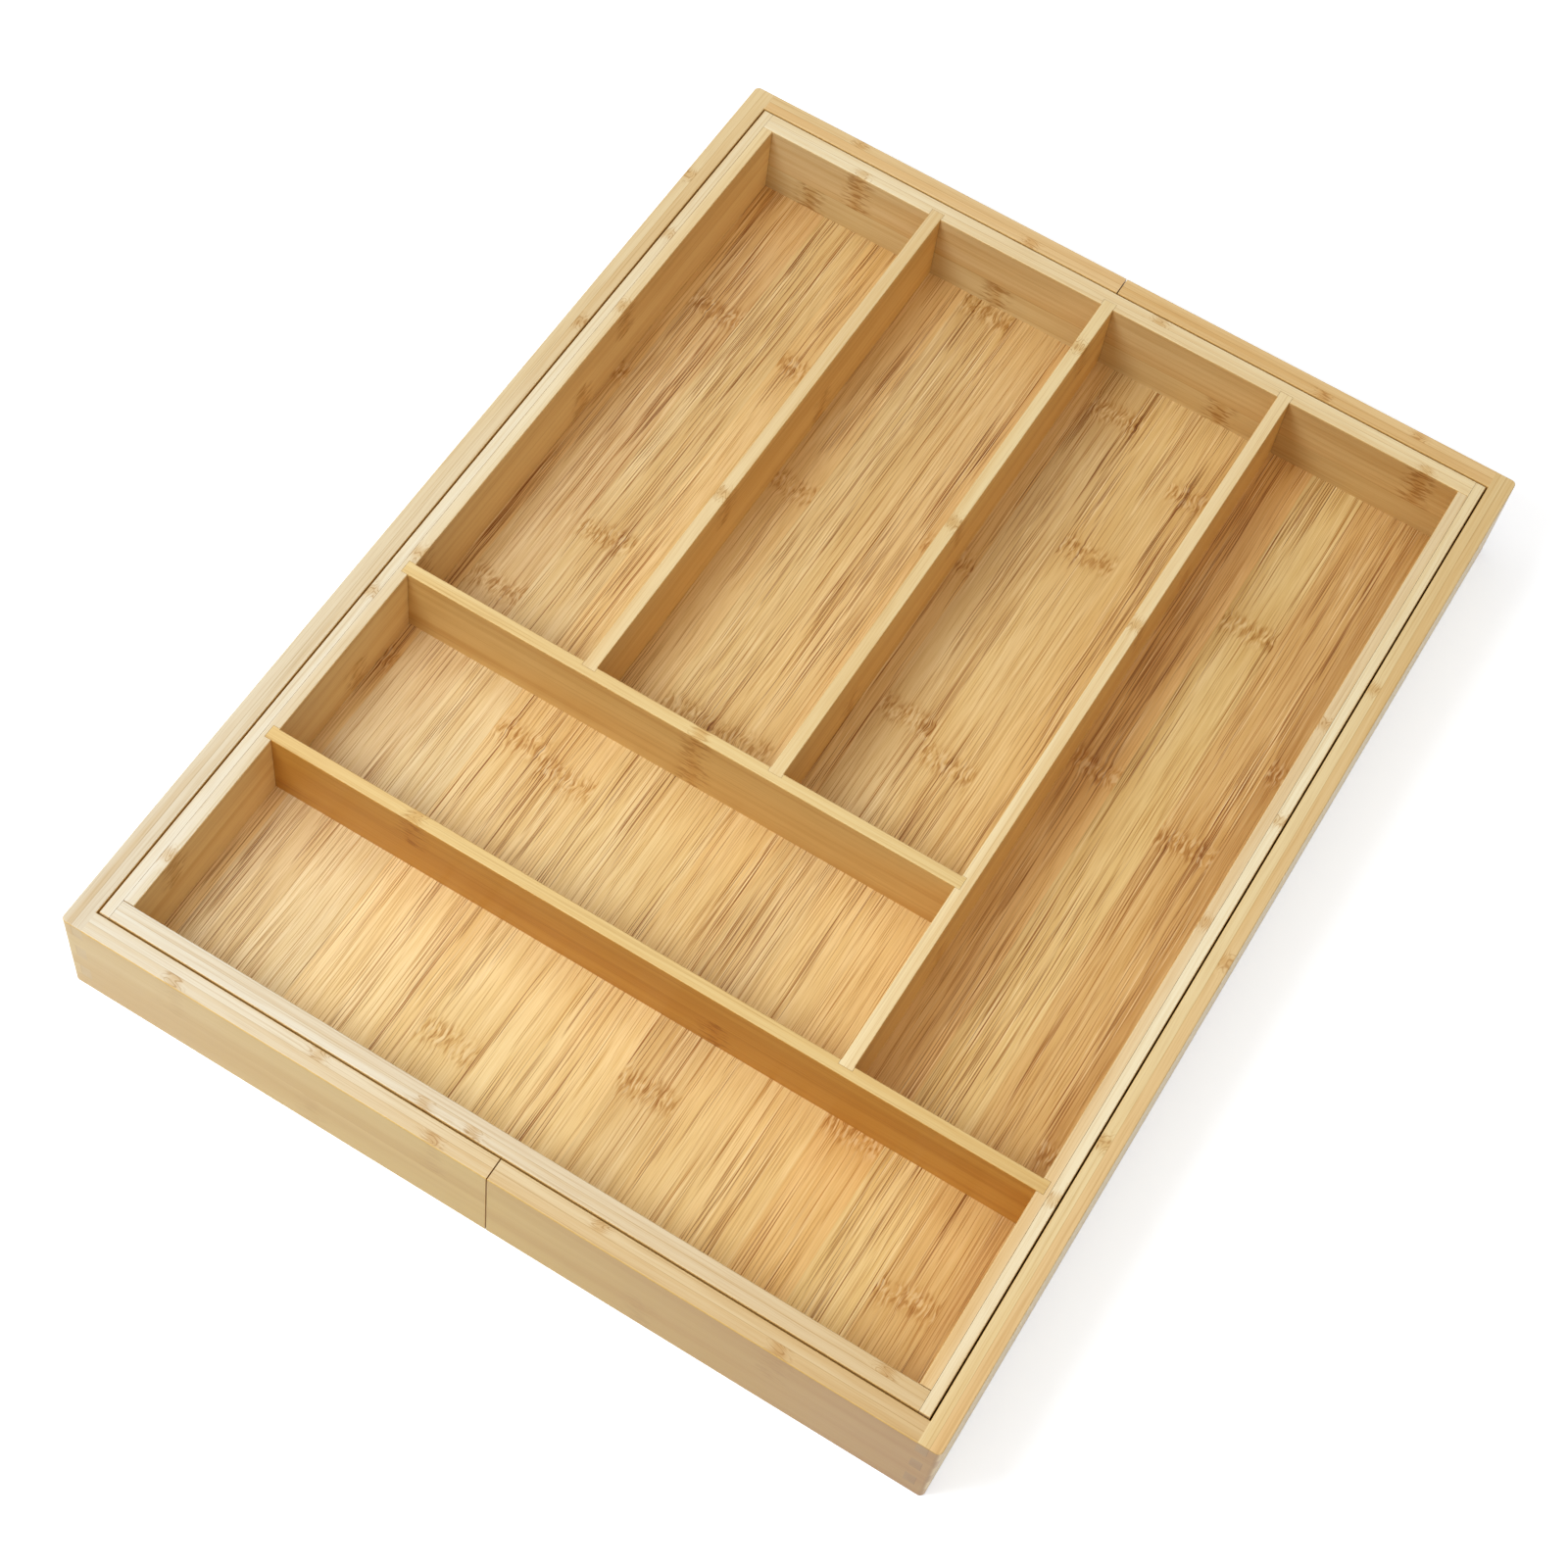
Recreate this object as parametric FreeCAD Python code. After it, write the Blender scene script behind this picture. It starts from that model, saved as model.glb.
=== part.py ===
"""Expandable bamboo cutlery tray.

A main tray with fixed dividers sits inside two sliding wings. Each wing is a
three-sided tray: a side rail, a front and a back rail, and a thin floor that
runs under the main tray. A guide strip glued in each wing rail runs in a groove
along the main tray's front or back rail, and the main tray's side boards cap
those grooves, so a wing stops there and can't be pulled off.

X runs left to right, Y front to back, Z up. The origin is the middle of the
footprint of the closed tray, on the surface that it stands on. Millimetres.
"""

import FreeCAD
import Part

import os

# Overall sizes of the closed tray
tray_width = 340.0
tray_depth = 450.0
tray_height = 45.0
corner_radius = 2.0
edge_radius = 0.5

# Stock thicknesses
wing_rail_thickness = 8.5
wing_floor_thickness = 3.5
main_rail_thickness = 8.0
side_board_thickness = 4.0
liner_thickness = 4.2
divider_thickness = 5.3
main_floor_thickness = 4.0

# Compartments: two rows across the front, then equal columns to the back
row_depth = 77.7
column_count = 4

# Joinery
finger_count = 6
wing_floor_height = 2.0
wing_floor_groove = 4.0
main_floor_ledge = 2.5
rail_floor_groove = 3.0
board_floor_groove = 2.0
rail_housing = 3.0
liner_housing = 2.8
divider_housing = 2.0

# Sliding guides
wing_travel = 90.0
guide_height = 10.0
guide_middle = 28.0
guide_groove_depth = 3.5
guide_reach = 3.0
guide_housing = 3.0
guide_inset = 2.0

# Clearances
closed_gap = 0.6
running_gap = 0.6
floor_gap = 0.5
seam_gap = 0.5
glue_line = 0.1
guide_clearance = 0.2
stop_clearance = 0.2

# Half sizes, from the outside in
half_width = tray_width / 2
half_depth = tray_depth / 2
wing_inner_x = half_width - wing_rail_thickness
wing_inner_y = half_depth - wing_rail_thickness
board_outer_x = wing_inner_x - closed_gap
board_inner_x = board_outer_x - side_board_thickness
liner_outer_x = board_inner_x - glue_line
liner_inner_x = liner_outer_x - liner_thickness
rail_outer_y = wing_inner_y - running_gap
rail_inner_y = rail_outer_y - main_rail_thickness
rail_end_x = board_inner_x - glue_line

# Heights, from the bottom up
wing_floor_top = wing_floor_height + wing_floor_thickness
main_bottom = wing_floor_top + floor_gap
main_floor_bottom = main_bottom + main_floor_ledge
main_floor_top = main_floor_bottom + main_floor_thickness
main_height_span = (main_bottom, tray_height)
divider_height_span = (main_floor_top, tray_height)

# Rows and columns
front_divider_y = (-rail_inner_y + row_depth, -rail_inner_y + row_depth + divider_thickness)
middle_divider_y = (front_divider_y[1] + row_depth, front_divider_y[1] + row_depth + divider_thickness)
column_width = (2 * liner_inner_x - (column_count - 1) * divider_thickness) / column_count
column_pitch = column_width + divider_thickness
column_divider_left = [-liner_inner_x + column_width + i * column_pitch for i in range(column_count - 1)]

# Guides: the strip's outer end meets the side board when the wing is fully out
guide_outer_x = rail_end_x - wing_travel - stop_clearance
guide_inner_x = seam_gap / 2 + guide_inset
guide_groove_z = (guide_middle - guide_height / 2, guide_middle + guide_height / 2)
guide_strip_z = (guide_groove_z[0] + guide_clearance, guide_groove_z[1] - guide_clearance)
guide_strip_y = (rail_outer_y - guide_reach, wing_inner_y + guide_housing)

# How far a cutting block runs past the wood that it cuts
overrun = 10.0

# Two places closer than this are the same place
same_place = 0.001


def block(x, y, z):
    """A box between three (low, high) spans."""
    low = FreeCAD.Vector(x[0], y[0], z[0])
    return Part.makeBox(x[1] - x[0], y[1] - y[0], z[1] - z[0], low)


def both(middle, half):
    """The span of a half size on each side of a middle."""
    return (middle - half, middle + half)


def mirrored(span, side):
    """A span on the positive side, or its mirror image when side is -1."""
    return span if side > 0 else (-span[1], -span[0])


def grown(span, gap):
    """A span widened by a gap at each end."""
    return (span[0] - gap, span[1] + gap)


def eased(shape, chosen):
    """The shape with every edge that the test picks rounded over."""
    edges = [edge for edge in shape.Edges if chosen(edge.CenterOfMass)]
    return shape.makeFillet(edge_radius, edges)


def near(a, b):
    return abs(a - b) < same_place


def eased_top(shape, x=(), y=()):
    """The shape with its top edges at these X or Y places rounded over."""
    def chosen(point):
        at_side = any(near(point.x, place) for place in x) or any(near(point.y, place) for place in y)
        return near(point.z, tray_height) and at_side

    return eased(shape, chosen)


def rounded_prism():
    """The outline of the closed tray, with its corners and outer edges rounded."""
    prism = block(both(0, half_width), both(0, half_depth), (0, tray_height))
    uprights = [edge for edge in prism.Edges if near(edge.CenterOfMass.z, tray_height / 2)]
    prism = prism.makeFillet(corner_radius, uprights)
    return eased(prism, lambda point: near(point.z, 0) or near(point.z, tray_height))


def wing_ring():
    """Both wings' rails as one ring, before the joints part it."""
    well = block(both(0, wing_inner_x), both(0, wing_inner_y), (-overrun, tray_height + overrun))
    ring = rounded_prism().cut(well)
    inner_top = [
        edge for edge in ring.Edges
        if near(edge.CenterOfMass.z, tray_height)
        and (near(abs(edge.CenterOfMass.x), wing_inner_x) or near(abs(edge.CenterOfMass.y), wing_inner_y))
    ]
    return ring.makeFillet(edge_radius, inner_top)


def finger_blocks(side):
    """The corner blocks that a wing's front and back rails own, one for every second finger."""
    finger = tray_height / finger_count
    x = mirrored((wing_inner_x, half_width + overrun), side)
    blocks = []
    for end in (-1, 1):
        y = mirrored((wing_inner_y, half_depth + overrun), end)
        for k in range(0, finger_count, 2):
            blocks.append(block(x, y, (k * finger, (k + 1) * finger)))
    return blocks


def wing_floor(side):
    """A wing's thin floor, let into grooves in its three rails."""
    x = mirrored((seam_gap / 2, wing_inner_x + wing_floor_groove), side)
    y = both(0, wing_inner_y + wing_floor_groove)
    return block(x, y, (wing_floor_height, wing_floor_top))


def guide_strip(side, end):
    """The strip that carries and guides a wing, glued in its front (-1) or back (1) rail."""
    x = mirrored((guide_inner_x, guide_outer_x), side)
    return block(x, mirrored(guide_strip_y, end), guide_strip_z)


def wing(side, name):
    """All pieces of the left (-1) or right (1) wing, by node name."""
    ring = wing_ring()
    floor = wing_floor(side)
    fingers = finger_blocks(side)
    all_z = (-overrun, tray_height + overrun)

    side_x = mirrored((wing_inner_x, half_width + overrun), side)
    side_zone = block(side_x, both(0, half_depth + overrun), all_z)
    side_rail = ring.common(side_zone).cut(fingers).cut(floor)
    pieces = {name + "_side_rail": side_rail, name + "_floor": floor}

    for end, end_name in ((-1, "front"), (1, "back")):
        strip = guide_strip(side, end)
        y = mirrored((wing_inner_y, half_depth + overrun), end)
        rail_zone = block(mirrored((seam_gap / 2, wing_inner_x), side), y, all_z)
        own_fingers = [finger for finger in fingers if finger.CenterOfMass.y * end > 0]
        rail = ring.common(rail_zone.fuse(own_fingers)).removeSplitter()
        pieces[name + "_" + end_name + "_rail"] = rail.cut(floor).cut(strip)
        pieces[name + "_" + end_name + "_guide"] = strip
    return pieces


def housing(x, y):
    """The slot that a divider's end is let into, a glue line wider than the end."""
    return block(x, y, (main_floor_top, tray_height + overrun))


def main_floor():
    x = both(0, board_inner_x + board_floor_groove)
    y = both(0, rail_inner_y + rail_floor_groove)
    return block(x, y, (main_floor_bottom, main_floor_top))


def main_rail(end):
    """The main tray's front (-1) or back (1) rail, grooved for the guides and the floor."""
    y = mirrored((rail_inner_y, rail_outer_y), end)
    rail = block(both(0, rail_end_x), y, main_height_span)
    rail = eased_top(rail, y=y)
    groove_y = mirrored((rail_outer_y - guide_groove_depth, rail_outer_y + overrun), end)
    groove = block(both(0, half_width), groove_y, guide_groove_z)
    rail = rail.cut(groove).cut(main_floor())
    if end < 0:
        return rail
    for left in column_divider_left:
        x = grown((left, left + divider_thickness), glue_line)
        rail = rail.cut(housing(x, (rail_inner_y - overrun, rail_inner_y + rail_housing)))
    return rail


def side_board(side):
    """The board that caps the rails' ends and stops the guides."""
    x = mirrored((board_inner_x, board_outer_x), side)
    y = both(0, rail_outer_y)
    board = block(x, y, main_height_span)
    board = eased_top(board, x=(side * board_outer_x,), y=y)
    return board.cut(main_floor())


def side_liner(side):
    """The strip inside a side board, which sits on the floor and holds the cross dividers' ends."""
    x = mirrored((liner_inner_x, liner_outer_x), side)
    liner = block(x, both(0, rail_inner_y - glue_line), divider_height_span)
    liner = eased_top(liner, x=(side * liner_inner_x,))
    slot_x = mirrored((liner_inner_x - overrun, liner_inner_x + liner_housing), side)
    held = [front_divider_y, middle_divider_y] if side < 0 else [front_divider_y]
    for y in held:
        liner = liner.cut(housing(slot_x, grown(y, glue_line)))
    return liner


def divider(x, y, start, stop):
    """A divider on the floor with square ends let into their housings.

    start and stop say how far its two ends reach past the given spans."""
    runs_along_x = (x[1] - x[0]) > (y[1] - y[0])
    body = block(x, y, divider_height_span)
    body = eased_top(body, y=y) if runs_along_x else eased_top(body, x=x)
    if runs_along_x:
        ends = [((x[0] - start, x[0]), y), ((x[1], x[1] + stop), y)]
    else:
        ends = [(x, (y[0] - start, y[0])), (x, (y[1], y[1] + stop))]
    tenons = [block(end_x, end_y, divider_height_span) for end_x, end_y in ends]
    return body.fuse(tenons).removeSplitter()


def cross_dividers():
    """The two dividers that run across, with housings for the columns that end on them."""
    tenon = liner_housing - glue_line
    long_left = column_divider_left[-1]
    front = divider(both(0, liner_inner_x), front_divider_y, tenon, tenon)
    middle = divider((-liner_inner_x, long_left), middle_divider_y, tenon, divider_housing - glue_line)
    for left in column_divider_left:
        target_back = front_divider_y[1] if left == long_left else middle_divider_y[1]
        x = grown((left, left + divider_thickness), glue_line)
        slot = housing(x, (target_back - divider_housing, target_back + overrun))
        if left == long_left:
            front = front.cut(slot)
        else:
            middle = middle.cut(slot)
    return {"front_cross_divider": front, "middle_cross_divider": middle}


def column_dividers():
    """The dividers that run front to back, the last one past the end of the middle cross divider."""
    pieces = {}
    long_left = column_divider_left[-1]
    for number, left in enumerate(column_divider_left, start=1):
        x = (left, left + divider_thickness)
        front_y = front_divider_y[1] if left == long_left else middle_divider_y[1]
        piece = divider(x, (front_y, rail_inner_y), divider_housing - glue_line, rail_housing - glue_line)
        name = "column_divider_" + str(number)
        if left == long_left:
            name = "long_column_divider"
            slot_x = (left - overrun, left + divider_housing)
            piece = piece.cut(housing(slot_x, grown(middle_divider_y, glue_line)))
        pieces[name] = piece
    return pieces


def main_tray():
    """All pieces of the main tray, by node name."""
    pieces = {
        "main_floor": main_floor(),
        "main_front_rail": main_rail(-1),
        "main_back_rail": main_rail(1),
        "main_left_board": side_board(-1),
        "main_right_board": side_board(1),
        "main_left_liner": side_liner(-1),
        "main_right_liner": side_liner(1),
    }
    pieces.update(cross_dividers())
    pieces.update(column_dividers())
    return pieces


def main():
    os.makedirs("parts", exist_ok=True)
    pieces = main_tray()
    pieces.update(wing(-1, "left"))
    pieces.update(wing(1, "right"))
    for name, shape in pieces.items():
        if len(shape.Solids) != 1 or not shape.isValid():
            raise RuntimeError(name + " is not one sound solid")
        shape.Solids[0].exportStep("parts/" + name + ".step")
    column_length = rail_inner_y - middle_divider_y[1]
    print(len(pieces), "pieces; short columns", round(column_width, 2), "by", round(column_length, 2))
    print("guide strip", round(guide_outer_x - guide_inner_x, 2), "long, wing travel", wing_travel)


main()
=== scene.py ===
import math
from collections import namedtuple

import bpy
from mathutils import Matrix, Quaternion, Vector


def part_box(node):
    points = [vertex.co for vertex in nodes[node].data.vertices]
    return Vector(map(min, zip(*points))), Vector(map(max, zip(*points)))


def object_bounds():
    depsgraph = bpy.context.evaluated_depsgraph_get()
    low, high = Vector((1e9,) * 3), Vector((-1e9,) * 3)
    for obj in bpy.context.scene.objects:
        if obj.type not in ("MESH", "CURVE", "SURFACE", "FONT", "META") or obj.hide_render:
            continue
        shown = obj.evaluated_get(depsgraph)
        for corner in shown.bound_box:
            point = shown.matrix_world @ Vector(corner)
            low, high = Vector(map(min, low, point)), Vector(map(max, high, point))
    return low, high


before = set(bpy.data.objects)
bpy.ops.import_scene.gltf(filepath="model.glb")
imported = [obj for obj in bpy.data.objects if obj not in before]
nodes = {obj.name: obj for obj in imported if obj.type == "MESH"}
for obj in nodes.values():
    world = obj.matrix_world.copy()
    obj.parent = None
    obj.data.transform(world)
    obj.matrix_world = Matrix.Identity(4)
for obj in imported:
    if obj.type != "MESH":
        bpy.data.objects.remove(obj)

# An expandable bamboo cutlery tray: an inner tray with six compartments, and a wing at each side that slides
# out. Metres, with the front along -Y and the top along +Z.

cad_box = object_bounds()
MM = 0.001

# Camera, fitted to the tray's corners in the photograph
CAMERA_PLACE = Vector((0.20014, -0.53572, 0.96389))
CAMERA_AIM = Vector((0.0, -0.03334, 0.0225))
CAMERA_ROLL = math.radians(10.636)
CAMERA_LENS = 69.501

# Light: a wide warm screen overhead, cooler lamps at the front left and the back left, each with its place,
# width and power, and a dim white room
SCREEN_FROM = Vector((-0.10, -0.30, 0.95))
SCREEN_WIDTH = math.radians(100.0)
SCREEN_POWER = 1.65
SCREEN_TINT = (1.0, 0.87, 0.70)
LAMPS = (
    (Vector((-0.32, -0.50, 0.75)), 0.4, 4.75),
    (Vector((-0.34, 0.12, 0.68)), 0.22, 0.3),
)
LAMP_TINT = (0.80, 0.90, 1.0)
ROOM_LIGHT = 0.15
ROOM_TINT = (1.0, 1.0, 1.0, 1.0)

# Table: a white top. Where it is seen it glows, bluish round the tray, to even out the warm screen, and dim
# and grey under the tray. UNDER_TRAY is how far the dim part reaches from the middle, before it fades.
TABLE_SIZE = 12.0
TABLE_BOUNCE = 0.9
TABLE_GLOW = 0.5
GLOW_UNDER = (0.64, 0.66, 0.68, 1.0)
GLOW_ROUND = (0.72, 0.84, 1.0, 1.0)
GLOW_FADE = 0.05
UNDER_TRAY = (0.09, 0.225, 0.0)


def colour(red, green, blue):
    """A display colour, 0 to 255, as the linear colour that shaders take."""
    def linear(value):
        value /= 255.0
        return value / 12.92 if value <= 0.04045 else ((value + 0.055) / 1.055) ** 2.4
    return (linear(red), linear(green), linear(blue), 1.0)


class NodeTree:
    """A node tree, with short ways to add to it."""

    # How far a seed of 1 moves a noise along each axis
    SEED_STEP = (1.0, 0.61, 0.37)

    def __init__(self, tree):
        self.tree = tree

    def add(self, kind, inputs=None, **settings):
        node = self.tree.nodes.new(kind)
        for setting, value in settings.items():
            setattr(node, setting, value)
        for socket, value in (inputs or {}).items():
            self.feed(node.inputs[socket], value)
        return node

    def feed(self, socket, value):
        """Links a socket to another node's output, or sets it to a plain value."""
        if isinstance(value, bpy.types.NodeSocket):
            self.tree.links.new(value, socket)
        else:
            socket.default_value = value

    def math(self, operation, first, second=0.0, third=0.0):
        return self.add("ShaderNodeMath", {0: first, 1: second, 2: third}, operation=operation).outputs[0]

    def vector(self, operation, first, second=(0.0, 0.0, 0.0)):
        return self.add("ShaderNodeVectorMath", {0: first, 1: second}, operation=operation).outputs[0]

    def product(self, *factors):
        total = factors[0]
        for factor in factors[1:]:
            total = self.math("MULTIPLY", total, factor)
        return total

    def rise(self, value, low, high):
        """0 below low, 1 above high, with a smooth rise between them."""
        inputs = {"Value": value, "From Min": low, "From Max": high}
        return self.add("ShaderNodeMapRange", inputs, interpolation_type="SMOOTHSTEP").outputs["Result"]

    def fall(self, value, low, high):
        """1 below low, 0 above high, with a smooth fall between them."""
        return self.math("SUBTRACT", 1.0, self.rise(value, low, high))

    def between(self, share, low, high):
        """low where the share is 0, high where it is 1, and in proportion between them."""
        inputs = {"Value": share, "To Min": low, "To Max": high}
        return self.add("ShaderNodeMapRange", inputs).outputs["Result"]

    def split(self, vector):
        return self.add("ShaderNodeSeparateXYZ", {0: vector}).outputs

    def noise(self, vector, along, across, seed, detail=1.0):
        """Noise with so many cells a metre along the grain and across it."""
        location = [seed * step for step in self.SEED_STEP]
        inputs = {"Vector": vector, "Location": location, "Scale": (along, across, across)}
        placed = self.add("ShaderNodeMapping", inputs).outputs[0]
        return self.add("ShaderNodeTexNoise", {"Vector": placed, "Scale": 1.0, "Detail": detail}).outputs

    def blend(self, amount, first, second, kind="MIX"):
        node = self.add("ShaderNodeMix", {0: amount, 6: first, 7: second}, data_type="RGBA", blend_type=kind)
        return node.outputs[2]

    def ramp(self, position, colours):
        """One colour for each equal step of 0 to 1."""
        node = self.add("ShaderNodeValToRGB", {0: position})
        steps = node.color_ramp
        steps.interpolation = "CONSTANT"
        for number, value in enumerate(colours):
            step = steps.elements[number] if number < 2 else steps.elements.new(1.0)
            step.position = number / len(colours)
            step.color = value
        while len(steps.elements) > len(colours):
            steps.elements.remove(steps.elements[-1])
        return node.outputs[0]

    def shown_white(self):
        """1 where a ray comes from the camera, a gloss or a clear surface: these see the white surround."""
        path = self.add("ShaderNodeLightPath").outputs
        shown = path["Is Camera Ray"]
        for name in ("Is Glossy Ray", "Is Transmission Ray"):
            shown = self.math("MAXIMUM", shown, path[name])
        return shown

    def either(self, hidden, shown):
        """One value for the rays that only carry light, another for those that show the white surround."""
        return self.between(self.shown_white(), hidden, shown)


class Finish(NodeTree):
    """One material's node tree."""

    def __init__(self, name):
        self.material = bpy.data.materials.new(name)
        self.material.use_nodes = True
        super().__init__(self.material.node_tree)
        self.shader = self.tree.nodes["Principled BSDF"]
        self.coordinates = self.add("ShaderNodeTexCoord")


# A layer of laminated bamboo: the tone of its top edge and of its end grain, and its strips from the bottom
# up, each with the tone of its face and the places of its growth nodes along the grain, in millimetres. A
# tone that changes along the piece is given as two, for the low and the high end of the grain.
Layer = namedtuple("Layer", "top end strips")

# How a piece is cut into layers across it and strips upwards, each as start and width, and its start and end
# along the grain
Cut = namedtuple("Cut", "across up along")

# A stain: the tint that darkens the wood, and its share where it is at its strongest
Stain = namedtuple("Stain", "tint share")


class Bamboo(Finish):
    """Laminated bamboo: layers side by side, of strips on top of each other, with their fibres and nodes."""

    # The ramp that holds the node places takes no negatives, so they are counted from this far before the
    # middle. A strip with fewer nodes than the ramp holds has the others far off, in millimetres.
    COUNT_FROM = 0.5
    MOST_NODES = 3
    NO_NODE = 9000.0

    # How far each strip's pattern is moved along the grain from the one before, in metres, and each row of
    # fibres at most, in fibre lengths
    STRIP_SHIFT = 0.37
    FIBRE_SHIFT = 17.0

    # The finish of sanded bamboo
    SANDED_ROUGHNESS = 0.30
    SHEEN = 0.2
    BUMP_STRENGTH = 0.3
    BUMP_DEPTH = 0.1 * MM

    def __init__(self, name, grain, layers, cut, seed):
        super().__init__(name)
        self.seed = seed
        inputs = {"Vector": self.coordinates.outputs["Object"]}
        if grain == "Y":
            # Mirrored and turned, X and Y change places, so that the grain runs along X here too.
            inputs["Scale"] = (-1.0, 1.0, 1.0)
            inputs["Rotation"] = (0.0, 0.0, math.radians(-90.0))
        self.place = self.add("ShaderNodeMapping", inputs).outputs[0]
        self.along, place_across, place_up = self.split(self.place)
        normal = self.split(self.coordinates.outputs["Normal"])
        self.upward = normal[2]
        self.endward = self.math("ABSOLUTE", normal["XYZ".index(grain)])

        self.layer_width = cut.across[1]
        self.strip_width = cut.up[1]
        self.layer_step = self.steps(place_across, *cut.across)
        self.strip_step = self.steps(place_up, *cut.up)
        inputs = {"Value": self.along, "From Min": cut.along[0], "From Max": cut.along[1]}
        self.reach = self.add("ShaderNodeMapRange", inputs).outputs["Result"]
        strips = [(layer, strip) for layer in layers for strip in layer.strips]
        rows = float(len(layers[0].strips))
        number = self.math("MULTIPLY_ADD", self.math("FLOOR", self.layer_step), rows,
                           self.math("FLOOR", self.strip_step))
        position = self.math("DIVIDE", self.math("ADD", number, 0.5), float(len(strips)))
        self.face = self.graded(position, [strip[0] for _, strip in strips])
        self.top = self.graded(position, [layer.top for layer, _ in strips])
        self.end = self.graded(position, [layer.end for layer, _ in strips])
        self.node_places = self.mark_nodes(position, [strip[1] for _, strip in strips])
        moved = self.math("MULTIPLY", number, self.STRIP_SHIFT)
        shift = self.add("ShaderNodeCombineXYZ", {0: moved}).outputs[0]
        self.own = self.vector("ADD", self.place, shift)

    def steps(self, coordinate, start, width):
        """How far a point lies from the start, in layers or strips."""
        return self.math("DIVIDE", self.math("SUBTRACT", coordinate, start), width)

    def graded(self, position, tones):
        """Each strip's tone, which may change from one end of the grain to the other."""
        pairs = [tone if isinstance(tone[0], tuple) else (tone, tone) for tone in tones]
        low, high = [self.ramp(position, [colour(*pair[side]) for pair in pairs]) for side in (0, 1)]
        return self.blend(self.reach, low, high)

    def mark_nodes(self, position, strip_marks):
        """The places of a strip's growth nodes, counted in metres from COUNT_FROM before the middle."""
        places = []
        for marks in strip_marks:
            padded = (*marks, *[self.NO_NODE] * self.MOST_NODES)[:self.MOST_NODES]
            places.append((*[mark * MM + self.COUNT_FROM for mark in padded], 1.0))
        return self.add("ShaderNodeSeparateColor", {0: self.ramp(position, places)}).outputs

    def node_gap(self, wave, ragged):
        """How far a point is along the grain from its strip's nearest growth node, whose line is uneven."""
        slow = self.noise(self.own, 0.0, 75.0, self.seed + 1.0)[0]
        fast = self.noise(self.own, 0.0, 620.0, self.seed + 2.0, detail=2.0)[0]
        there = self.math("ADD", self.along, self.COUNT_FROM)
        there = self.math("MULTIPLY_ADD", self.math("SUBTRACT", slow, 0.5), wave, there)
        there = self.math("MULTIPLY_ADD", self.math("SUBTRACT", fast, 0.5), ragged, there)
        gaps = [self.math("ABSOLUTE", self.math("SUBTRACT", there, self.node_places[channel]))
                for channel in range(self.MOST_NODES)]
        return self.math("MINIMUM", self.math("MINIMUM", gaps[0], gaps[1]), gaps[2])

    def bend(self, near_node, wander, swirl):
        """The strip's own coordinates, with fibres that wander a little and swirl round the growth nodes."""
        slow = self.noise(self.own, 16.0, 40.0, self.seed + 3.0)["Color"]
        fast = self.noise(self.own, 130.0, 170.0, self.seed + 4.0)["Color"]
        bent = self.own
        for field, reach in ((slow, wander), (fast, self.product(near_node, swirl))):
            curl = self.vector("SUBTRACT", field, (0.5, 0.5, 0.5))
            scaled = self.add("ShaderNodeVectorMath", {0: curl, "Scale": reach}, operation="SCALE")
            bent = self.vector("ADD", bent, scaled.outputs[0])
        return bent

    def chance(self, *values):
        """A random share, 0 to 1, that is the same wherever the values are."""
        place = self.add("ShaderNodeCombineXYZ", dict(enumerate(values))).outputs[0]
        return self.add("ShaderNodeTexWhiteNoise", {"Vector": place}).outputs["Value"]

    def fibres(self, place, crowd, seed, width, length, sparse):
        """Fibres side by side, of which some show: each has its own strength and place, and tapered ends."""
        along, across, _ = self.split(place)
        row = self.math("DIVIDE", across, width)
        number = self.math("FLOOR", row)
        shift = self.product(self.chance(0.0, number, seed), self.FIBRE_SHIFT)
        run = self.math("ADD", self.math("DIVIDE", along, length), shift)
        strength = self.math("ADD", self.chance(self.math("FLOOR", run), number, seed + 0.5), crowd)
        middle = self.math("PINGPONG", row, 0.5)
        reach = self.math("FRACT", run)
        ends = self.product(self.rise(reach, 0.0, 0.2), self.fall(reach, 0.5, 1.0))
        return self.product(self.rise(middle, 0.05, 0.4), ends, self.rise(strength, sparse, 1.05))

    def seam(self, step, width, line):
        """1 on the glue line between two layers or two strips."""
        middle = self.math("ABSOLUTE", self.math("SUBTRACT", self.math("FRACT", step), 0.5))
        return self.rise(middle, 0.5 - line / width, 0.5)

    def stain(self, tone, stain, amount):
        return self.blend(self.product(amount, stain.share), tone, colour(*stain.tint), "MULTIPLY")

    def close(self, tone, rough, height):
        """Connects the shader and hands back the finished material."""
        sockets = self.shader.inputs
        inputs = {"Height": height, "Strength": self.BUMP_STRENGTH, "Distance": self.BUMP_DEPTH}
        self.feed(sockets["Base Color"], tone)
        self.feed(sockets["Roughness"], rough)
        self.feed(sockets["Normal"], self.add("ShaderNodeBump", inputs).outputs[0])
        self.feed(sockets["Specular IOR Level"], self.SHEEN)
        return self.material


# Floor panels: how much their fibre lines crowd in groups, the tone of their pale lines and flecks, how much
# of it a fleck takes, and their stains
PANEL_CROWDING = 0.55
PANEL_PALE = (250, 230, 184)
PALE_FLECK_SHARE = 0.3
PANEL_CLOUD = Stain((248, 242, 232), 1.0)
PANEL_LINE = Stain((204, 170, 118), 1.0)
PANEL_LONG_LINE = Stain((200, 162, 108), 1.0)
PANEL_STRONG_LINE = Stain((166, 120, 66), 1.0)
PANEL_STRONG_LONG_LINE = Stain((192, 150, 98), 1.0)
PANEL_FIBRE = Stain((242, 234, 220), 1.0)
PANEL_HALO = Stain((240, 230, 212), 0.4)
PANEL_NODE = Stain((236, 220, 192), 0.5)
PANEL_FLECK = Stain((204, 174, 128), 0.65)
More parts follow.
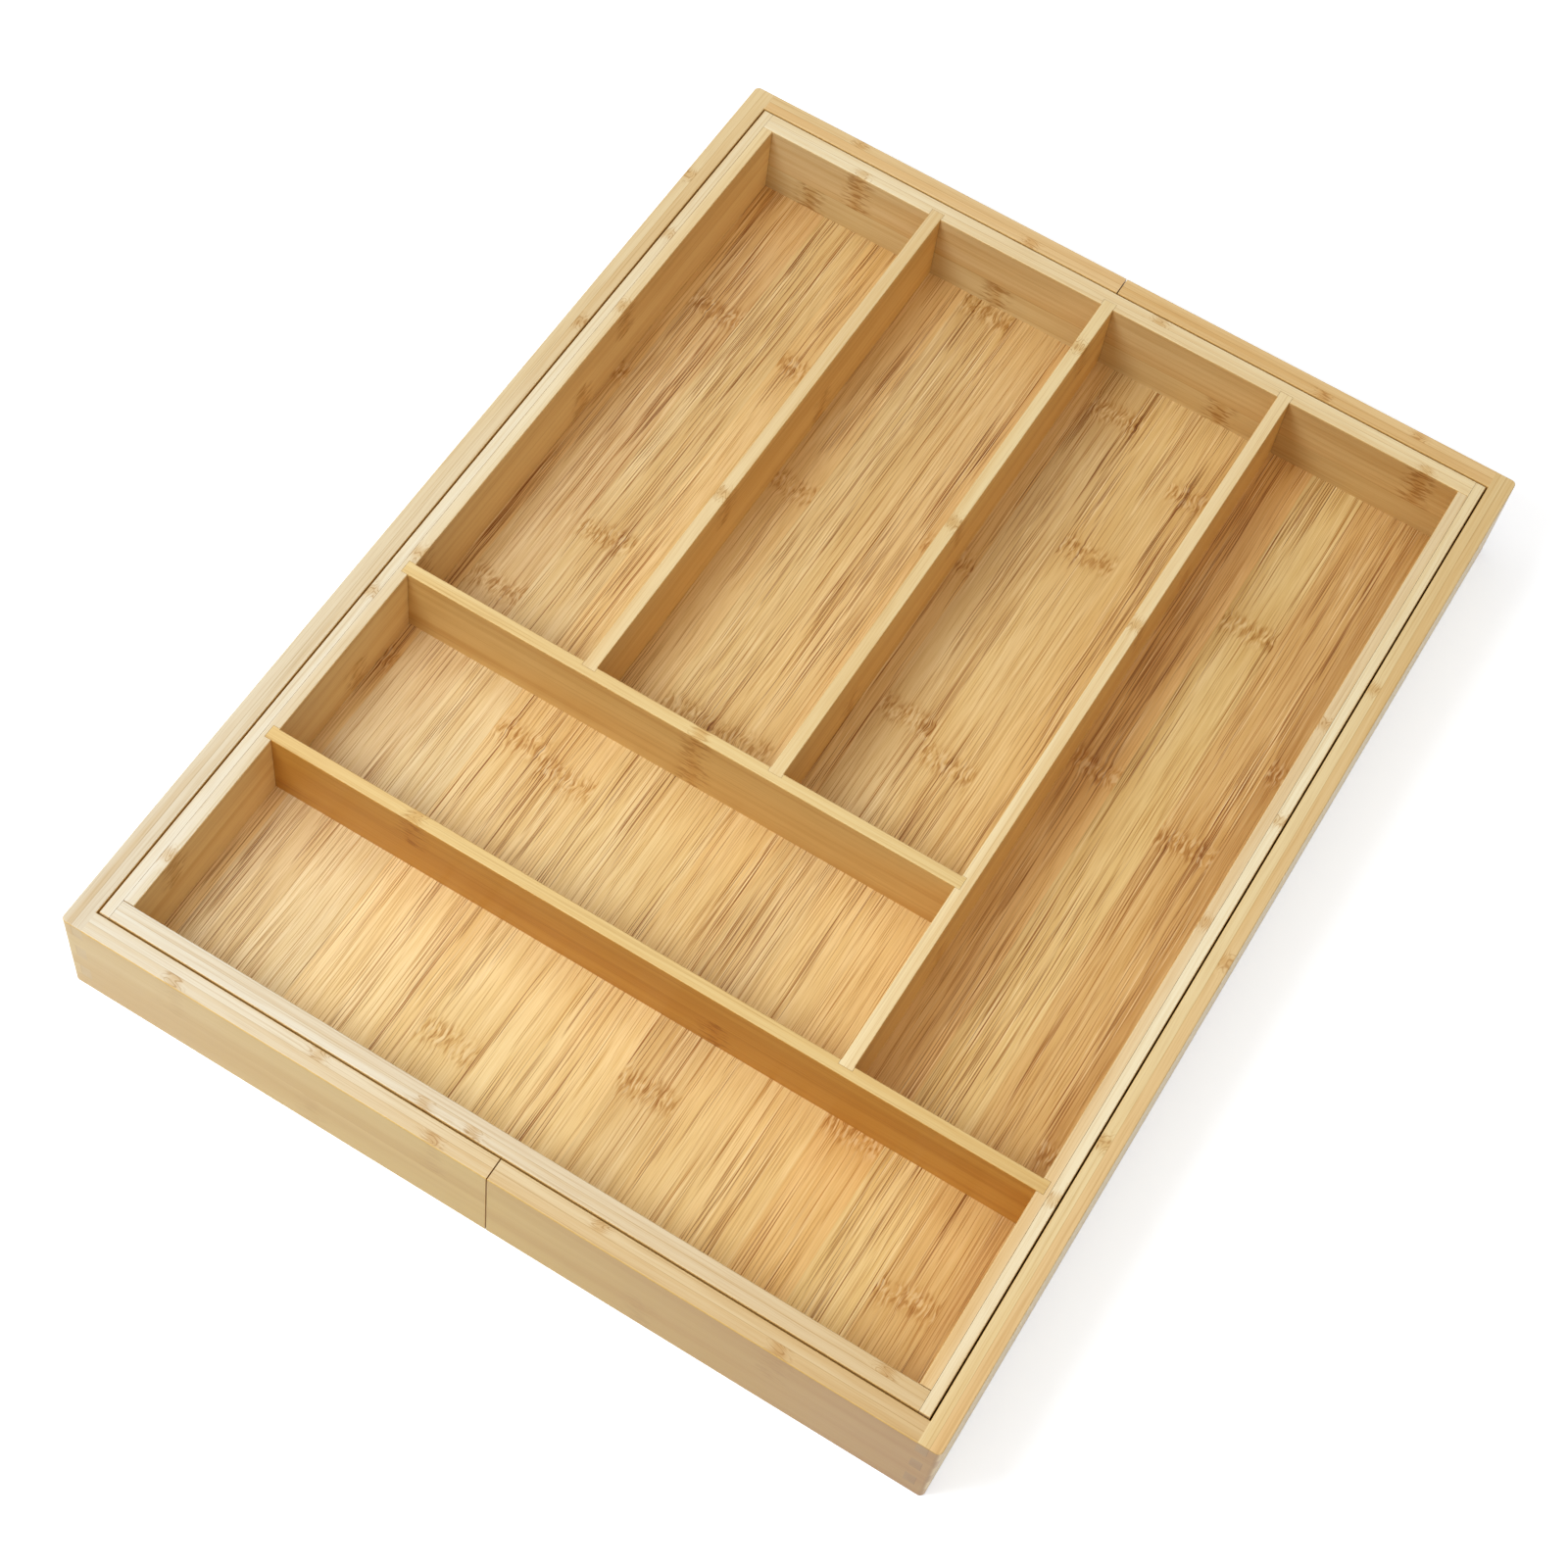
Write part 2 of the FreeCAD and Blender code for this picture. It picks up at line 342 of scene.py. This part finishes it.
PANEL_GLUE = Stain((236, 226, 210), 0.5)


def panel_bamboo(name, grain, layers, cut, seed):
    """A floor panel: wide strips with long fine fibre lines, light bands and ragged growth nodes."""
    wood = Bamboo(name, grain, layers, cut, seed)
    gap = wood.node_gap(wave=7.0 * MM, ragged=8.0 * MM)
    core = wood.fall(gap, 1.5 * MM, 8.0 * MM)
    halo = wood.fall(gap, 4.0 * MM, 30.0 * MM)
    bent = wood.bend(core, wander=1.5 * MM, swirl=2.8 * MM)

    cloud = wood.noise(wood.own, 7.0, 55.0, seed + 5.0)[0]
    group = wood.noise(wood.own, 9.0, 160.0, seed + 6.0, detail=2.0)[0]
    band = wood.noise(bent, 7.0, 260.0, seed + 7.0)[0]
    fibre = wood.noise(bent, 60.0, 3200.0, seed + 12.0)[0]
    fleck = wood.noise(bent, 190.0, 1000.0, seed + 13.0)[0]
    crowd = wood.product(wood.math("SUBTRACT", group, 0.5), PANEL_CROWDING)
    lines = wood.fibres(bent, crowd, seed + 9.0, width=0.34 * MM, length=36.0 * MM, sparse=0.45)
    long_lines = wood.fibres(bent, crowd, seed + 10.0, width=0.5 * MM, length=75.0 * MM, sparse=0.66)
    pale_lines = wood.fibres(bent, crowd, seed + 11.0, width=0.5 * MM, length=44.0 * MM, sparse=0.5)
    strong = wood.rise(wood.math("ADD", cloud, group), 0.9, 1.16)

    tone = wood.blend(wood.rise(band, 0.3, 0.7), wood.face, wood.top)
    tone = wood.stain(tone, PANEL_CLOUD, wood.rise(cloud, 0.45, 0.7))
    pale_share = wood.math("MULTIPLY_ADD", strong, 0.4, 0.3)
    tone = wood.blend(wood.product(pale_lines, pale_share), tone, colour(*PANEL_PALE))
    tone = wood.stain(tone, PANEL_LINE, lines)
    tone = wood.stain(tone, PANEL_LONG_LINE, long_lines)
    tone = wood.stain(tone, PANEL_STRONG_LINE, wood.product(lines, strong))
    tone = wood.stain(tone, PANEL_STRONG_LONG_LINE, wood.product(long_lines, strong))
    tone = wood.stain(tone, PANEL_FIBRE, wood.rise(fibre, 0.4, 0.75))

    dark_fleck = wood.product(core, wood.rise(fleck, 0.52, 0.62))
    pale_fleck = wood.product(core, wood.fall(fleck, 0.36, 0.46))
    tone = wood.stain(tone, PANEL_HALO, halo)
    tone = wood.stain(tone, PANEL_NODE, core)
    tone = wood.stain(tone, PANEL_FLECK, dark_fleck)
    tone = wood.blend(wood.product(pale_fleck, PALE_FLECK_SHARE), tone, colour(*PANEL_PALE))
    tone = wood.stain(tone, PANEL_GLUE, wood.seam(wood.layer_step, wood.layer_width, line=0.2 * MM))

    rough = wood.math("MULTIPLY_ADD", fibre, 0.08, wood.SANDED_ROUGHNESS)
    rough = wood.math("MULTIPLY_ADD", lines, 0.08, rough)
    height = wood.math("MULTIPLY_ADD", lines, -0.7, wood.product(fibre, 0.4))
    height = wood.math("MULTIPLY_ADD", dark_fleck, -0.8, height)
    return wood.close(tone, rough, height)


# Boards: the tone of the yellow highlight painted on their eased edges, their stains, how many rings a
# growth node's ripples have, and between which slopes a face turns into a top or an end
EDGE_HIGHLIGHT = (216, 178, 98)
BOARD_STREAK = Stain((230, 212, 186), 0.65)
BOARD_RIM = Stain((249, 243, 232), 1.0)
BOARD_CLOUD = Stain((246, 238, 226), 1.0)
BOARD_LINE = Stain((222, 206, 180), 0.35)
BOARD_FIBRE = Stain((246, 241, 234), 1.0)
BOARD_NODE = Stain((236, 218, 190), 0.7)
BOARD_RIPPLE = Stain((206, 178, 142), 0.6)
BOARD_STROKE = Stain((196, 162, 116), 0.75)
BOARD_JOINT = Stain((216, 198, 168), 0.7)
BOARD_GLUE = Stain((226, 210, 190), 1.0)
RIPPLE_RINGS = 7.0
TURNED = (0.55, 0.95)


def board_bamboo(name, grain, layers, cut, figure, edge, seed):
    """A board on edge: smooth faces of long streaks, a pale top with fine lines, and end grain."""
    wood = Bamboo(name, grain, layers, cut, seed)
    gap = wood.node_gap(wave=3.0 * MM, ragged=3.0 * MM)
    core = wood.fall(gap, 0.5 * MM, 4.0 * MM)
    halo = wood.fall(gap, 3.0 * MM, 9.0 * MM)
    bent = wood.bend(halo, wander=0.6 * MM, swirl=2.0 * MM)

    cloud = wood.noise(wood.own, 5.0, 90.0, seed + 5.0)[0]
    streak = wood.noise(bent, 6.0, 330.0, seed + 7.0, detail=2.0)[0]
    line = wood.noise(bent, 9.0, 1300.0, seed + 9.0, detail=0.0)[0]
    fibre = wood.noise(bent, 50.0, 2600.0, seed + 11.0)[0]
    stroke = wood.noise(bent, 150.0, 900.0, seed + 13.0)[0]
    ripple = wood.noise(wood.own, 130.0, 420.0, seed + 15.0, detail=0.0)[0]

    is_top = wood.rise(wood.upward, *TURNED)
    is_end = wood.rise(wood.endward, *TURNED)
    is_eased = wood.product(wood.rise(wood.upward, 0.1, 0.4), wood.fall(wood.upward, 0.8, 0.97))
    is_side = wood.math("SUBTRACT", 1.0, is_top)
    plain = wood.between(is_top, figure, 1.0)

    side = wood.stain(wood.face, BOARD_STREAK, wood.product(wood.rise(streak, 0.35, 0.75), figure))
    rim = wood.stain(wood.top, BOARD_RIM, wood.rise(streak, 0.4, 0.7))
    tone = wood.blend(is_end, wood.blend(is_top, side, rim), wood.end)
    tone = wood.stain(tone, BOARD_CLOUD, wood.rise(cloud, 0.4, 0.7))
    lines = wood.product(wood.rise(line, 0.64, 0.74), plain)
    tone = wood.stain(tone, BOARD_LINE, lines)
    tone = wood.stain(tone, BOARD_FIBRE, wood.product(wood.rise(fibre, 0.42, 0.75), plain))

    ring_step = wood.math("FRACT", wood.product(ripple, RIPPLE_RINGS))
    ring = wood.math("ABSOLUTE", wood.math("SUBTRACT", ring_step, 0.5))
    ripples = wood.product(wood.fall(ring, 0.05, 0.2), wood.fall(gap, 2.0 * MM, 6.0 * MM), is_top)
    strokes = wood.product(halo, wood.rise(stroke, 0.48, 0.6), is_side, figure)
    tone = wood.stain(tone, BOARD_NODE, wood.product(core, plain))
    tone = wood.stain(tone, BOARD_RIPPLE, ripples)
    tone = wood.stain(tone, BOARD_STROKE, strokes)
    tone = wood.stain(tone, BOARD_JOINT, wood.seam(wood.layer_step, wood.layer_width, line=0.18 * MM))
    glue = wood.seam(wood.strip_step, wood.strip_width, line=0.2 * MM)
    tone = wood.stain(tone, BOARD_GLUE, wood.product(glue, figure))
    # The eased edges take a painted yellow highlight.
    tone = wood.blend(wood.product(is_eased, edge), tone, colour(*EDGE_HIGHLIGHT))

    rough = wood.math("MULTIPLY_ADD", fibre, 0.10, wood.SANDED_ROUGHNESS)
    height = wood.math("MULTIPLY_ADD", lines, -0.5, wood.product(fibre, 0.4))
    height = wood.math("MULTIPLY_ADD", strokes, -0.6, height)
    return wood.close(tone, rough, height)


# Bamboo tones. Most are as they show in plain light; three pale greyish ones hold a painted sheen, one deep
# brown holds painted shade, and some pairs of tones paint the light's fall-off, as marked where they are
# used.
# Pale greyish tones for the front left ends of tops: the wood's tone with a painted sheen on it
CREAM_AND_SHEEN = (227, 221, 206)
BONE_AND_SHEEN = (215, 203, 181)
IVORY_AND_SHEEN = (226, 217, 198)
MILK = (255, 248, 218)
LINEN = (247, 235, 204)
STRAW = (246, 228, 185)
HONEY = (238, 217, 169)
PALE = (237, 215, 169)
GRAIN = (234, 210, 155)
AMBER = (228, 199, 139)
BUFF = (224, 202, 162)
SAND = (236, 206, 153)
TAN = (234, 202, 150)
DRAB = (221, 195, 150)
BEIGE = (222, 190, 132)
OAT = (251, 223, 164)
GOLD = (245, 207, 135)
CARAMEL = (211, 173, 107)
# A deep brown darkened with painted shade, for the front cross divider's faces
UMBER_AND_SHADE = (198, 144, 65)
FLAX = (214, 194, 146)
KHAKI = (206, 174, 116)
FAWN = (220, 197, 149)
HAZEL = (209, 175, 116)
WHEAT = (205, 177, 119)
OCHRE = (196, 165, 96)
DUN = (180, 142, 86)
ASHEN = (170, 137, 90)
SHELL = (198, 171, 120)
END = (216, 184, 134)

# How strongly a board's figure shows on its sides, and how strongly the yellow highlight painted on its
# eased edges shows
WING_FIGURE = 0.2
WALL_FIGURE = 0.7
BACK_FIGURE = 0.9
PLAIN_EDGE = 0.2
YELLOW_EDGE = 0.8

# The floor panel's strips from the left: how its tones are tinted at the front and at the back, and where
# growth nodes cross the strip. On the main floor the tints paint light: paler at the front than at the back
# for the light's fall-off, pale and bluish at the front of the first three strips for a painted sheen at the
# front left, and warmer at the back of the strips next to the right side of each lengthwise wall (the first
# two, the fifth, the eighth and the twelfth) for painted shade at the foot of those walls. The wings' panels
# are longer across their grain, so some strips come again.
PANEL_LIGHT = (244, 218, 163)
PANEL_DEEP = (238, 209, 149)
PANEL_STRIP = 22.4 * MM
PANEL_START = -169.4 * MM
PANEL_STRIPS = (
    ((246, 242, 246), (230, 208, 176), (-65, 94)),
    ((240, 244, 262), (224, 207, 190), (-15, 142)),
    ((246, 250, 266), (230, 226, 220), (26,)),
    ((255, 254, 258), (234, 226, 214), (-65, 135)),
    ((255, 254, 255), (232, 219, 203), (-71, 86)),
    ((255, 255, 255), (228, 224, 220), (-179, -22, 203)),
    ((255, 254, 251), (226, 218, 210), (-22,)),
    ((255, 252, 248), (228, 215, 200), (92,)),
    ((244, 238, 232), (220, 214, 208), (-157, 23, 189)),
    ((250, 244, 236), (230, 226, 218), (12, 123)),
    ((250, 242, 230), (232, 228, 218), (170,)),
    ((246, 230, 208), (232, 212, 188), (-132, 42)),
    ((244, 238, 224), (232, 230, 220), (128,)),
    ((234, 220, 200), (222, 208, 190), (-174, 31)),
    ((222, 202, 178), (210, 192, 170), (-102, 78)),
)
STRIPS_AGAIN = 6

# Layers and strips start a little outside the wood, so that its outer faces are well inside one of them.
OUTSIDE = 0.5 * MM


def shares(low, high, count):
    """The start and the width of so many equal layers or strips."""
    return (low - OUTSIDE, (high - low + 2.0 * OUTSIDE) / count)


def put_on(node, material):
    for slot in nodes[node].material_slots:
        slot.material = material


def tinted(tone, tint):
    return tuple(value * share / 255.0 for value, share in zip(tone, tint))


def lay_panel(node, grain, start, strips, seed):
    """Gives a floor panel its strips, side by side from the start."""
    layers = []
    for *tints, marks in strips:
        # The front and back tints paint light, sheen and shade on the main floor, as told with the strips.
        light, deep = [tuple(tinted(tone, tint) for tint in tints) for tone in (PANEL_LIGHT, PANEL_DEEP)]
        layers.append(Layer(light, END, ((deep, marks),)))
    low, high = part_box(node)
    axis = "XY".index(grain)
    cut = Cut((start, PANEL_STRIP), shares(low.z, high.z, 1), (low[axis], high[axis]))
    put_on(node, panel_bamboo(node + "_bamboo", grain, layers, cut, seed))


def dress(node, grain, seed, *layers, figure=WALL_FIGURE, edge=PLAIN_EDGE):
    """Gives a board its own bamboo, with its layers from the low side of its thickness to the high side."""
    low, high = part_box(node)
    axis = "XY".index(grain)
    across = shares(low[1 - axis], high[1 - axis], len(layers))
    up = shares(low.z, high.z, len(layers[0].strips))
    cut = Cut(across, up, (low[axis], high[axis]))
    put_on(node, board_bamboo(node + "_bamboo", grain, layers, cut, figure, edge, seed))


# Floors
lay_panel("main_floor", "Y", PANEL_START, PANEL_STRIPS, 1.0)
for seed, side in ((2.0, "left"), (3.0, "right")):
    lay_panel(side + "_floor", "X", cad_box[0].y, PANEL_STRIPS + PANEL_STRIPS[:STRIPS_AGAIN], seed)

# Main tray
# The pale greyish tones at the front left ends of some of these tops hold a painted sheen.
dress("main_front_rail", "X", 4.0,
      Layer((CREAM_AND_SHEEN, DRAB), END, ((CARAMEL, (-90,)), (CARAMEL, (-32, -13)))),
      Layer((CREAM_AND_SHEEN, DRAB), END, ((FLAX, (60,)), (FLAX, (142,)))))
# The faces of its front layer turn darker towards the right: a painted fall-off of the light.
dress("main_back_rail", "X", 5.0,
      Layer((LINEN, STRAW), END, (((FLAX, KHAKI), (-132, -45, 56)), ((FAWN, HAZEL), (-112, 138)))),
      Layer((LINEN, STRAW), END, ((CARAMEL, ()), (CARAMEL, (20,)))), figure=BACK_FIGURE)
dress("main_left_board", "Y", 6.0,
      Layer((IVORY_AND_SHEEN, LINEN), END, ((CARAMEL, (-120, 60)), (CARAMEL, (-60, 140)))))
dress("main_right_board", "Y", 7.0,
      Layer((LINEN, MILK), END, ((CARAMEL, (-80, 100)), (CARAMEL, (-130, 40)))))
dress("main_left_liner", "Y", 8.0, Layer((IVORY_AND_SHEEN, STRAW), END, ((OAT, (-80, 70)), (OAT, (-186, -37, 100)))))
dress("main_right_liner", "Y", 9.0, Layer((TAN, LINEN), END, ((OAT, (-60, 120)), (OAT, (-11, 85)))))
# Its faces, which look to the front, take a deep brown darkened with painted shade.
dress("front_cross_divider", "X", 10.0, Layer(AMBER, END, ((UMBER_AND_SHADE, (30,)), (UMBER_AND_SHADE, (-94,)))))
dress("middle_cross_divider", "X", 11.0, Layer(GRAIN, END, ((CARAMEL, (-30,)), (CARAMEL, (-30,)))))
dress("column_divider_1", "Y", 12.0, Layer(PALE, END, ((GOLD, (120,)), (GOLD, (48,)))))
dress("column_divider_2", "Y", 13.0, Layer(HONEY, END, ((GOLD, (10,)), (GOLD, (86, 185)))))
dress("long_column_divider", "Y", 14.0, Layer(STRAW, END, ((GOLD, (-60, 130)), (GOLD, (84,)))))

# Wings
# The pale greyish tones at the front left ends of the left wing's tops hold a painted sheen.
dress("left_side_rail", "Y", 15.0,
      Layer((BONE_AND_SHEEN, PALE), WHEAT, ((BEIGE, (84,)), (BEIGE, (170,)))),
      Layer((BONE_AND_SHEEN, PALE), SHELL, ((CARAMEL, (-140,)), (CARAMEL, (84,)))), figure=WING_FIGURE)
# Its front face turns darker towards the right: a painted fall-off of the light.
dress("left_front_rail", "X", 16.0,
      Layer((CREAM_AND_SHEEN, BUFF), END, (((WHEAT, OCHRE), (-70,)), ((WHEAT, OCHRE), (-125, -22)))),
      Layer((CREAM_AND_SHEEN, BUFF), END, ((CARAMEL, ()), (CARAMEL, (-70,)))), figure=WING_FIGURE, edge=YELLOW_EDGE)
dress("left_back_rail", "X", 17.0,
      Layer(TAN, END, ((CARAMEL, (-110,)), (CARAMEL, (-40,)))),
      Layer((PALE, TAN), END, ((BEIGE, ()), (BEIGE, (-120,)))), figure=WING_FIGURE)
dress("right_side_rail", "Y", 18.0,
      Layer(HONEY, ASHEN, ((CARAMEL, (-40,)), (CARAMEL, (-103, 109)))),
      Layer((TAN, HONEY), DUN, ((HONEY, (150,)), (HONEY, (-20,)))), figure=WING_FIGURE)
# Its front face turns darker towards the right: a painted fall-off of the light.
dress("right_front_rail", "X", 19.0,
      Layer((BUFF, DRAB), END, (((OCHRE, DUN), (60,)), ((OCHRE, DUN), (110,)))),
      Layer((BUFF, DRAB), END, ((CARAMEL, ()), (CARAMEL, (40,)))), figure=WING_FIGURE, edge=YELLOW_EDGE)
dress("right_back_rail", "X", 20.0,
      Layer(SAND, END, ((CARAMEL, (40,)), (CARAMEL, (90,)))),
      Layer(SAND, END, ((BEIGE, ()), (BEIGE, (130,)))), figure=WING_FIGURE)
for seed, side in ((21.0, "left"), (23.0, "right")):
    dress(side + "_front_guide", "X", seed, Layer(TAN, END, ((BEIGE, ()),)))
    dress(side + "_back_guide", "X", seed + 1.0, Layer(TAN, END, ((BEIGE, ()),)))


def make_room():
    world = bpy.data.worlds.new("white_room")
    world.use_nodes = True
    bpy.context.scene.world = world
    room = NodeTree(world.node_tree)
    sockets = room.tree.nodes["Background"].inputs
    room.feed(sockets["Color"], ROOM_TINT)
    room.feed(sockets["Strength"], room.either(ROOM_LIGHT, 1.0))


def add_light(kind, place, power, tint):
    """A light of one kind that faces the origin."""
    bpy.ops.object.light_add(type=kind, location=place)
    light = bpy.context.object
    light.rotation_mode = "QUATERNION"
    light.rotation_quaternion = place.to_track_quat("Z", "Y")
    light.data.energy = power
    light.data.color = tint
    return light


def make_lights():
    screen = add_light("SUN", SCREEN_FROM, SCREEN_POWER, SCREEN_TINT)
    screen.data.angle = SCREEN_WIDTH
    for place, width, power in LAMPS:
        lamp = add_light("AREA", place, power, LAMP_TINT)
        lamp.data.shape = "DISK"
        lamp.data.size = width
        lamp.visible_camera = False


def make_table():
    bpy.ops.mesh.primitive_plane_add(size=TABLE_SIZE, location=(0.0, 0.0, cad_box[0].z))
    table = bpy.context.object
    table.name = "table_top"
    paint = Finish("white_table")
    from_middle = paint.vector("ABSOLUTE", paint.coordinates.outputs["Object"])
    beyond = paint.split(paint.vector("SUBTRACT", from_middle, UNDER_TRAY))
    fade = paint.rise(paint.math("MAXIMUM", beyond[0], beyond[1]), 0.0, GLOW_FADE)
    sockets = paint.shader.inputs
    paint.feed(sockets["Base Color"], paint.either(TABLE_BOUNCE, 1.0))
    paint.feed(sockets["Emission Strength"], paint.either(0.0, TABLE_GLOW))
    paint.feed(sockets["Emission Color"], paint.blend(fade, GLOW_UNDER, GLOW_ROUND))
    paint.feed(sockets["Roughness"], 1.0)
    paint.feed(sockets["Specular IOR Level"], 0.0)
    table.data.materials.append(paint.material)


def make_camera():
    bpy.ops.object.camera_add(location=CAMERA_PLACE)
    camera = bpy.context.object
    camera.rotation_mode = "QUATERNION"
    aim = (CAMERA_AIM - CAMERA_PLACE).to_track_quat("-Z", "Y")
    camera.rotation_quaternion = aim @ Quaternion((0.0, 0.0, 1.0), CAMERA_ROLL)
    camera.data.lens = CAMERA_LENS
    bpy.context.scene.camera = camera


bpy.ops.object.select_all(action="DESELECT")
make_room()
make_lights()
make_table()
make_camera()
bpy.context.scene.view_settings.view_transform = "Standard"
